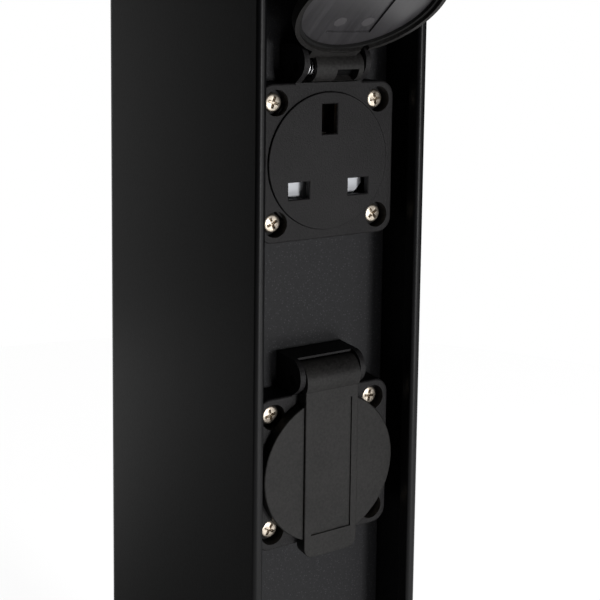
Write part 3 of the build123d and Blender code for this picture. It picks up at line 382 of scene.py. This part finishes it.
bloom_width = 1 / 350
rubber, tree = blank("black sealing rubber")
where = add(tree, "ShaderNodeTexCoord").outputs["Object"]
bloom = add(tree, "ShaderNodeTexNoise", [("Vector", where), ("Scale", 1 / bloom_width), ("Detail", 4.0)])
tone = add(tree, "ShaderNodeMix", data_type="RGBA",
           inputs=[(0, bloom.outputs["Fac"]), (6, linear("0e0e0e")), (7, linear("1e1e1e"))])
bump = add(tree, "ShaderNodeBump", [("Strength", 0.3), ("Distance", 0.0001),
           ("Height", bloom.outputs["Fac"])])
skin = add(tree, "ShaderNodeBsdfPrincipled", [("Base Color", tone.outputs[2]), ("Roughness", 0.78),
           ("Specular IOR Level", 0.3), ("Normal", bump.outputs[0])])
add(tree, "ShaderNodeOutputMaterial", [("Surface", skin.outputs[0])])
dress(rubber, "base_gasket", "gland_seal", "upper_flange_gasket", "lower_flange_gasket", "upper_lid_seal",
      "lower_lid_seal")


# Cable gland
# A grey polyamide gland screwed in the base plate: hexagon, sleeve and dome
# nut. Glass fibre in the polyamide gives a faint cloudy sheen.

fibre_cloud_width = 1 / 220
gland_plastic, tree = blank("grey glass filled polyamide")
where = add(tree, "ShaderNodeTexCoord").outputs["Object"]
fibre = add(tree, "ShaderNodeTexNoise", [("Vector", where), ("Scale", 1 / fibre_cloud_width),
            ("Detail", 5.0)])
tone = add(tree, "ShaderNodeMix", data_type="RGBA",
           inputs=[(0, fibre.outputs["Fac"]), (6, linear("3c3d3f")), (7, linear("4b4c4e"))])
gloss = add(tree, "ShaderNodeMapRange", [("Value", fibre.outputs["Fac"]), ("To Min", 0.42),
            ("To Max", 0.6)])
skin = add(tree, "ShaderNodeBsdfPrincipled", [("Base Color", tone.outputs[2]),
           ("Roughness", gloss.outputs[0])])
add(tree, "ShaderNodeOutputMaterial", [("Surface", skin.outputs[0])])
dress(gland_plastic, "gland_body", "gland_nut")


# Terminal bracket
# Bent sheet steel with a blue-white zinc plate. Zinc shows a fine cloudy
# spangle and the rolling direction of the sheet.

rolled_line_width, rolled_line_length = 1 / 900, 1 / 60
zinc, tree = blank("zinc plated sheet steel")
where = add(tree, "ShaderNodeTexCoord").outputs["Object"]
rolled = add(tree, "ShaderNodeMapping", [("Vector", where),
             ("Scale", (1 / rolled_line_width, 1 / rolled_line_width, 1 / rolled_line_length))])
lines = add(tree, "ShaderNodeTexNoise", [("Vector", rolled.outputs[0]), ("Scale", 1.0), ("Detail", 3.0)])
tone = add(tree, "ShaderNodeMix", data_type="RGBA",
           inputs=[(0, lines.outputs["Fac"]), (6, linear("9aa0a6")), (7, linear("c2c6ca"))])
gloss = add(tree, "ShaderNodeMapRange", [("Value", lines.outputs["Fac"]), ("To Min", 0.28),
            ("To Max", 0.48)])
plate = add(tree, "ShaderNodeBsdfPrincipled", [("Base Color", tone.outputs[2]), ("Metallic", 1.0),
            ("Roughness", gloss.outputs[0])])
add(tree, "ShaderNodeOutputMaterial", [("Surface", plate.outputs[0])])
dress(zinc, "terminal_bracket")


# Terminal block
# A natural polyamide block: milky, slightly see-through in thin places and
# glossy where the mould was polished.

milky_cloud_width = 1 / 120
milky, tree = blank("natural polyamide")
where = add(tree, "ShaderNodeTexCoord").outputs["Object"]
flow = add(tree, "ShaderNodeTexNoise", [("Vector", where), ("Scale", 1 / milky_cloud_width),
           ("Detail", 3.0)])
tone = add(tree, "ShaderNodeMix", data_type="RGBA",
           inputs=[(0, flow.outputs["Fac"]), (6, linear("cfccc0")), (7, linear("dedbd2"))])
skin = add(tree, "ShaderNodeBsdfPrincipled", [("Base Color", tone.outputs[2]), ("Roughness", 0.32)])
add(tree, "ShaderNodeOutputMaterial", [("Surface", skin.outputs[0])])
dress(milky, "terminal_block")


# Brass
# Clamps, contacts, stud and nut are brass, stamped or turned and pickled.
# Old lacquer and handling leave darker clouds on it.

lacquer_cloud_width = 1 / 260
brass, tree = blank("pickled brass")
where = add(tree, "ShaderNodeTexCoord").outputs["Object"]
cloud = add(tree, "ShaderNodeTexNoise", [("Vector", where), ("Scale", 1 / lacquer_cloud_width),
            ("Detail", 4.0)])
tone = add(tree, "ShaderNodeMix", data_type="RGBA",
           inputs=[(0, cloud.outputs["Fac"]), (6, linear("b0863c")), (7, linear("dcb568"))])
gloss = add(tree, "ShaderNodeMapRange", [("Value", cloud.outputs["Fac"]), ("To Min", 0.22),
            ("To Max", 0.42)])
metal = add(tree, "ShaderNodeBsdfPrincipled", [("Base Color", tone.outputs[2]), ("Metallic", 1.0),
            ("Roughness", gloss.outputs[0])])
add(tree, "ShaderNodeOutputMaterial", [("Surface", metal.outputs[0])])
dress(brass, "block_clamps", "earth_stud", "earth_nut", "upper_line_contact", "upper_neutral_contact",
      "upper_earth_contact", "lower_line_contact", "lower_neutral_contact", "lower_earth_contact")


# Earth lug
# A ring lug stamped from copper and tinned, so it is pale and a little dull.

tin_cloud_width = 0.002
tinned, tree = blank("tinned copper")
where = add(tree, "ShaderNodeTexCoord").outputs["Object"]
cloud = add(tree, "ShaderNodeTexNoise", [("Vector", where), ("Scale", 1 / tin_cloud_width),
            ("Detail", 3.0)])
tone = add(tree, "ShaderNodeMix", data_type="RGBA",
           inputs=[(0, cloud.outputs["Fac"]), (6, linear("b9b6b0")), (7, linear("d6d4d0"))])
metal = add(tree, "ShaderNodeBsdfPrincipled", [("Base Color", tone.outputs[2]), ("Metallic", 1.0),
            ("Roughness", 0.38)])
add(tree, "ShaderNodeOutputMaterial", [("Surface", metal.outputs[0])])
dress(tinned, "earth_lug")


# Wires
# Single wires in smooth PVC insulation: brown, blue, and green with a
# yellow stripe that runs along the wire.

insulation_flow_width = 1 / 300
for name, node_name, dark, light in (
    ("brown PVC insulation", "line_wires", "4a2513", "5e3019"),
    ("blue PVC insulation", "neutral_wires", "1d4f96", "2762b0"),
):
    insulation, tree = blank(name)
    where = add(tree, "ShaderNodeTexCoord").outputs["Object"]
    flow = add(tree, "ShaderNodeTexNoise", [("Vector", where), ("Scale", 1 / insulation_flow_width)])
    tone = add(tree, "ShaderNodeMix", data_type="RGBA",
               inputs=[(0, flow.outputs["Fac"]), (6, linear(dark)), (7, linear(light))])
    skin = add(tree, "ShaderNodeBsdfPrincipled", [("Base Color", tone.outputs[2]), ("Roughness", 0.33)])
    add(tree, "ShaderNodeOutputMaterial", [("Surface", skin.outputs[0])])
    dress(insulation, node_name)

stripe_from = 0.25
striped, tree = blank("green and yellow PVC insulation")
faces = add(tree, "ShaderNodeNewGeometry")
side = add(tree, "ShaderNodeSeparateXYZ", [("Vector", faces.outputs["Normal"])])
stripe = add(tree, "ShaderNodeMath", [(0, side.outputs["X"]), (1, stripe_from)],
             operation="GREATER_THAN")
tone = add(tree, "ShaderNodeMix", data_type="RGBA",
           inputs=[(0, stripe.outputs[0]), (6, linear("2f8a3a")), (7, linear("d9cf2e"))])
skin = add(tree, "ShaderNodeBsdfPrincipled", [("Base Color", tone.outputs[2]), ("Roughness", 0.33)])
add(tree, "ShaderNodeOutputMaterial", [("Surface", skin.outputs[0])])
dress(striped, "earth_wires")


# Socket flanges and faces
# Black ABS mouldings with a spark-eroded skin: an even, dull grain that
# turns grey in the light.

erosion_grain = 0.0005
grain_weight = 3.0
flange_flow_width = 1 / 60
eroded, tree = blank("spark eroded black ABS")
where = add(tree, "ShaderNodeTexCoord").outputs["Object"]
grain = add(tree, "ShaderNodeTexNoise", [("Vector", where), ("Scale", 1 / erosion_grain),
            ("Detail", 2.0), ("Roughness", 0.6)])
flow = add(tree, "ShaderNodeTexNoise", [("Vector", where), ("Scale", 1 / flange_flow_width),
           ("Detail", 2.0)])
mixed = add(tree, "ShaderNodeMath", [(0, grain.outputs["Fac"]), (1, grain_weight),
            (2, flow.outputs["Fac"])], operation="MULTIPLY_ADD")
speckle = add(tree, "ShaderNodeMapRange", [("Value", mixed.outputs[0]), ("From Min", 1.4),
              ("From Max", 2.6)])
tone = add(tree, "ShaderNodeMix", data_type="RGBA",
           inputs=[(0, speckle.outputs[0]), (6, linear("151415")), (7, linear("282728"))])
gloss = add(tree, "ShaderNodeMapRange", [("Value", grain.outputs["Fac"]), ("To Min", 0.44),
            ("To Max", 0.66)])
bump = add(tree, "ShaderNodeBump", [("Strength", 1.0), ("Distance", 0.00012),
           ("Height", grain.outputs["Fac"])])
skin = add(tree, "ShaderNodeBsdfPrincipled", [("Base Color", tone.outputs[2]),
           ("Roughness", gloss.outputs[0]), ("Specular IOR Level", 0.18), ("Normal", bump.outputs[0])])
add(tree, "ShaderNodeOutputMaterial", [("Surface", skin.outputs[0])])
dress(eroded, "upper_flange", "lower_flange", "upper_socket_face", "lower_socket_face", "upper_rear_body",
      "lower_rear_body")


# Shutters
# White acetal sliders: smooth, slightly waxy, cool white.

acetal_flow_width = 0.005
acetal, tree = blank("white acetal")
where = add(tree, "ShaderNodeTexCoord").outputs["Object"]
flow = add(tree, "ShaderNodeTexNoise", [("Vector", where), ("Scale", 1 / acetal_flow_width),
           ("Detail", 2.0)])
tone = add(tree, "ShaderNodeMix", data_type="RGBA",
           inputs=[(0, flow.outputs["Fac"]), (6, linear("dde0e6")), (7, linear("eceef2"))])
skin = add(tree, "ShaderNodeBsdfPrincipled", [("Base Color", tone.outputs[2]), ("Roughness", 0.35)])
add(tree, "ShaderNodeOutputMaterial", [("Surface", skin.outputs[0])])
dress(acetal, "upper_shutter", "lower_shutter")


# Springs and hinge pins
# Springs of bright drawn wire and pins of blackened steel rod. A lid's spring
# is wound round the pin: its coil stays, and the leg on the lid turns with it.
# A shutter's spring is pressed together as the shutter slides; here its coil stays fixed to the post.

draw_mark_width = 1 / 1500
spring_wire, tree = blank("bright spring wire")
where = add(tree, "ShaderNodeTexCoord").outputs["Object"]
marks = add(tree, "ShaderNodeTexNoise", [("Vector", where), ("Scale", 1 / draw_mark_width)])
gloss = add(tree, "ShaderNodeMapRange", [("Value", marks.outputs["Fac"]), ("To Min", 0.16),
            ("To Max", 0.34)])
metal = add(tree, "ShaderNodeBsdfPrincipled", [("Base Color", linear("c9c9cb")), ("Metallic", 1.0),
            ("Roughness", gloss.outputs[0])])
add(tree, "ShaderNodeOutputMaterial", [("Surface", metal.outputs[0])])

opened_at_rest = {"upper": 127.0, "lower": 0.0}


def hung(socket):
    """The place of a lid's hinge, and the swing from the closed lid to the lid at rest."""
    low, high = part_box(socket + "_hinge_pin")
    hinge = (low + high) / 2
    turn = Matrix.Rotation(math.radians(opened_at_rest[socket]), 4, Vector((-1, 0, 0)))
    return hinge, Matrix.Translation(hinge) @ turn @ Matrix.Translation(-hinge)


def wound(node_name):
    """A smooth merged copy of a spring's node."""
    edit = bmesh.new()
    edit.from_mesh(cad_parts[node_name].data)
    bmesh.ops.remove_doubles(edit, verts=edit.verts, dist=0.000001)
    for face in edit.faces:
        face.smooth = True
    return edit


wire_radius = 0.0003
leg_x, leg_z, leg_reach = -0.00535, -0.00245, 1.2 * wire_radius
for socket in ("upper", "lower"):
    hinge, swing = hung(socket)
    for part, body in (("coil", "post"), ("leg", socket + "_cover")):
        spring_edit = wound(socket + "_lid_spring")
        other = []
        for face in spring_edit.faces:
            x, y, z = swing.inverted() @ face.calc_center_median() - hinge
            beside = abs(x - leg_x) < leg_reach and abs(z - leg_z) < leg_reach
            if (beside and y < -wire_radius) != (part == "leg"):
                other.append(face)
        bmesh.ops.delete(spring_edit, geom=other, context="FACES")
        bmesh.ops.holes_fill(spring_edit, edges=[edge for edge in spring_edit.edges if edge.is_boundary])
        piece = shown(spring_edit, f"{socket}_lid_spring_{part}", spring_wire)
        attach(piece, body)
        if part == "coil":
            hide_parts(socket + "_lid_spring")
    low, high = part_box(socket + "_shutter_spring")
    piece = shown(wound(socket + "_shutter_spring"), socket + "_shutter_coil", spring_wire)
    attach(piece, "post")
    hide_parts(socket + "_shutter_spring")
    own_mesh(piece)

oxide_width = 1 / 700
# This black finish is also painted on the floor of each lid's barrel window, as painted shade.
blackened, tree = blank("blackened steel rod, also painted window shade")
where = add(tree, "ShaderNodeTexCoord").outputs["Object"]
marks = add(tree, "ShaderNodeTexNoise", [("Vector", where), ("Scale", 1 / oxide_width), ("Detail", 3.0)])
tone = add(tree, "ShaderNodeMix", data_type="RGBA",
           inputs=[(0, marks.outputs["Fac"]), (6, linear("060606")), (7, linear("0c0c0d"))])
metal = add(tree, "ShaderNodeBsdfPrincipled", [("Base Color", tone.outputs[2]), ("Roughness", 0.62),
            ("Specular IOR Level", 0.12)])
add(tree, "ShaderNodeOutputMaterial", [("Surface", metal.outputs[0])])
dress(blackened, "upper_hinge_pin", "lower_hinge_pin")


# Lids
# Black polyamide mouldings. Outside they have the dull grain of the mould,
# inside the skin is smoother and shows long faint drag lines. The inside is
# painted a lighter grey than the outside, as painted light.

lid_flow_width = 1 / 70
lid_plastic, tree = blank("matt black moulded lid")
where = add(tree, "ShaderNodeTexCoord").outputs["Object"]
grain = add(tree, "ShaderNodeTexNoise", [("Vector", where), ("Scale", 1 / mould_grain),
            ("Detail", 3.0), ("Roughness", 0.6)])
flow = add(tree, "ShaderNodeTexNoise", [("Vector", where), ("Scale", 1 / lid_flow_width),
           ("Detail", 2.0)])
mixed = add(tree, "ShaderNodeMath", [(0, grain.outputs["Fac"]), (1, grain_weight),
            (2, flow.outputs["Fac"])], operation="MULTIPLY_ADD")
speckle = add(tree, "ShaderNodeMapRange", [("Value", mixed.outputs[0]), ("From Min", 1.4),
              ("From Max", 2.6)])
tone = add(tree, "ShaderNodeMix", data_type="RGBA",
           inputs=[(0, speckle.outputs[0]), (6, linear("1b1a1a")), (7, linear("302f2e"))])
gloss = add(tree, "ShaderNodeMapRange", [("Value", grain.outputs["Fac"]), ("To Min", 0.44),
            ("To Max", 0.58)])
bump = add(tree, "ShaderNodeBump", [("Strength", 0.4), ("Distance", 0.00008),
           ("Height", grain.outputs["Fac"])])
skin = add(tree, "ShaderNodeBsdfPrincipled", [("Base Color", tone.outputs[2]),
           ("Roughness", gloss.outputs[0]), ("Specular IOR Level", 0.18), ("Normal", bump.outputs[0])])
add(tree, "ShaderNodeOutputMaterial", [("Surface", skin.outputs[0])])

drag_line_spacing, drag_line_length = 0.0004, 0.05
skin_cloud_width = 1 / 55
lid_skin, tree = blank("drag lined lid skin, painted lighter")
where = add(tree, "ShaderNodeTexCoord").outputs["Object"]
drag_turn = math.radians(opened_at_rest["upper"])
drawn = add(tree, "ShaderNodeMapping", [("Vector", where), ("Rotation", (drag_turn, 0, 0)),
            ("Scale", (1 / drag_line_spacing, 1 / drag_line_length, 1 / drag_line_length))])
lines = add(tree, "ShaderNodeTexNoise", [("Vector", drawn.outputs[0]), ("Scale", 1.0), ("Detail", 2.0)])
flow = add(tree, "ShaderNodeTexNoise", [("Vector", where), ("Scale", 1 / skin_cloud_width),
           ("Detail", 2.0)])
streaks = add(tree, "ShaderNodeMath", [(0, lines.outputs["Fac"]), (1, flow.outputs["Fac"])],
              operation="MULTIPLY")
# Painted light: the inside skin is painted lighter than the same black moulding outside; the drag lines vary
# its tone.
tone = add(tree, "ShaderNodeMix", data_type="RGBA",
           inputs=[(0, streaks.outputs[0]), (6, linear("302f31")), (7, linear("5a585b"))])
gloss = add(tree, "ShaderNodeMapRange", [("Value", lines.outputs["Fac"]), ("To Min", 0.22),
            ("To Max", 0.46)])
bump = add(tree, "ShaderNodeBump", [("Strength", 0.35), ("Distance", 0.00006),
           ("Height", lines.outputs["Fac"])])
skin = add(tree, "ShaderNodeBsdfPrincipled", [("Base Color", tone.outputs[2]),
           ("Roughness", gloss.outputs[0]), ("Specular IOR Level", 0.6), ("Normal", bump.outputs[0])])
add(tree, "ShaderNodeOutputMaterial", [("Surface", skin.outputs[0])])

# Sizes of the closed lid, seen from its hinge: the inner skin, the field that
# is pressed into it, and the floor of the window in the barrel, which is
# painted black as painted shade.
skin_depth, lid_drop, inner_radius = 0.0026, 0.03, 0.0228
field_rise, field_sink = 0.0006, 0.0006
field_half_width, field_drop = 0.0084, 0.014
window_depth, window_tilt = 0.0016, math.radians(11)
window_way = Vector((0, math.cos(window_tilt), -math.sin(window_tilt)))
near, facing = 0.00005, 0.99
for socket in ("upper", "lower"):
    hinge, swing = hung(socket)
    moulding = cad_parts[socket + "_lid"].data
    lid_edit = bmesh.new()
    lid_edit.from_mesh(moulding)
    curvature = lid_edit.loops.layers.float_vector.new("curvature")
    for face, polygon in zip(lid_edit.faces, moulding.polygons):
        for loop, corner in zip(face.loops, polygon.loop_indices):
            loop[curvature] = moulding.corner_normals[corner].vector
    bmesh.ops.remove_doubles(lid_edit, verts=lid_edit.verts, dist=0.000002)
    bmesh.ops.transform(lid_edit, verts=lid_edit.verts, matrix=swing.inverted())
    field_y = hinge.y - skin_depth + field_rise
    field_verts = [vert for vert in lid_edit.verts if abs(vert.co.y - field_y) < near
                   and abs(vert.co.x) < field_half_width and vert.co.z < hinge.z - field_drop]
    bmesh.ops.translate(lid_edit, verts=field_verts, vec=(0, -field_rise - field_sink, 0))
    field_faces = {face for vert in field_verts for face in vert.link_faces}
    lid_edit.normal_update()
    for face in lid_edit.faces:
        face.smooth = True
        middle = face.calc_center_median() - hinge
        from_centre = math.hypot(middle.x, middle.z + lid_drop)
        inside = abs(middle.y + skin_depth) < field_sink + 2 * near and from_centre < inner_radius
        in_window = abs(middle.dot(window_way) - window_depth) < near and middle.x > 0
        # Faces inside the rim take the inside skin, which is painted lighter as painted light.
        if inside:
            face.material_index = 1
        # Painted shade: the window's floor takes the black rod finish, so the window looks deep and dark.
        elif in_window and face.normal.dot(window_way) > facing:
            face.material_index = 2
        else:
            face.material_index = 0
    bmesh.ops.transform(lid_edit, verts=lid_edit.verts, matrix=swing)
    lid_edit.normal_update()
    for face in field_faces:
        for loop in face.loops:
            loop[curvature] = face.normal
    lid = shown(lid_edit, socket + "_moulded_lid", lid_plastic)
    lid.data.materials.append(lid_skin)
    lid.data.materials.append(blackened)
    kept = lid.data.attributes["curvature"]
    lid.data.normals_split_custom_set([Vector(value.vector).normalized() for value in kept.data])
    lid.data.attributes.remove(lid.data.attributes["curvature"])
    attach(lid, socket + "_cover")
    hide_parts(socket + "_lid")


# Ejector marks
# Round flats that the mould's ejector pins leave inside a lid, beside the
# hinge. They are smoother than the grained skin round them, and painted a
# light grey as painted light.

turned_line_width = 1 / 1800
ejected, tree = blank("smooth ejector flat, painted lighter")
where = add(tree, "ShaderNodeTexCoord").outputs["Object"]
lines = add(tree, "ShaderNodeTexNoise", [("Vector", where), ("Scale", 1 / turned_line_width)])
gloss = add(tree, "ShaderNodeMapRange", [("Value", lines.outputs["Fac"]), ("To Min", 0.3),
            ("To Max", 0.42)])
# Painted light: the flats' light grey stands in for light on the lid's inside.
skin = add(tree, "ShaderNodeBsdfPrincipled", [("Base Color", linear("5a585a")),
           ("Roughness", gloss.outputs[0]), ("Specular IOR Level", 0.5)])
add(tree, "ShaderNodeOutputMaterial", [("Surface", skin.outputs[0])])

mark_radius, mark_thickness, mark_proud = 0.0021, 0.0003, 0.00008
mark_spread, mark_drop = 0.005, 0.0193
mark_depth = skin_depth + field_sink + mark_thickness / 2 - mark_proud
for socket in ("upper", "lower"):
    hinge, swing = hung(socket)
    marks_edit = bmesh.new()
    for x in (-mark_spread, mark_spread):
        made = bmesh.ops.create_cone(marks_edit, cap_ends=True, segments=40, radius1=mark_radius,
                                     radius2=mark_radius, depth=mark_thickness)
        bmesh.ops.rotate(marks_edit, verts=made["verts"], matrix=Matrix.Rotation(math.radians(90), 3, "X"))
        place = (x, hinge.y - mark_depth, hinge.z - mark_drop)
        bmesh.ops.translate(marks_edit, verts=made["verts"], vec=place)
    bmesh.ops.transform(marks_edit, verts=marks_edit.verts, matrix=swing)
    marks = shown(marks_edit, socket + "_ejector_marks", ejected)
    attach(marks, socket + "_cover")
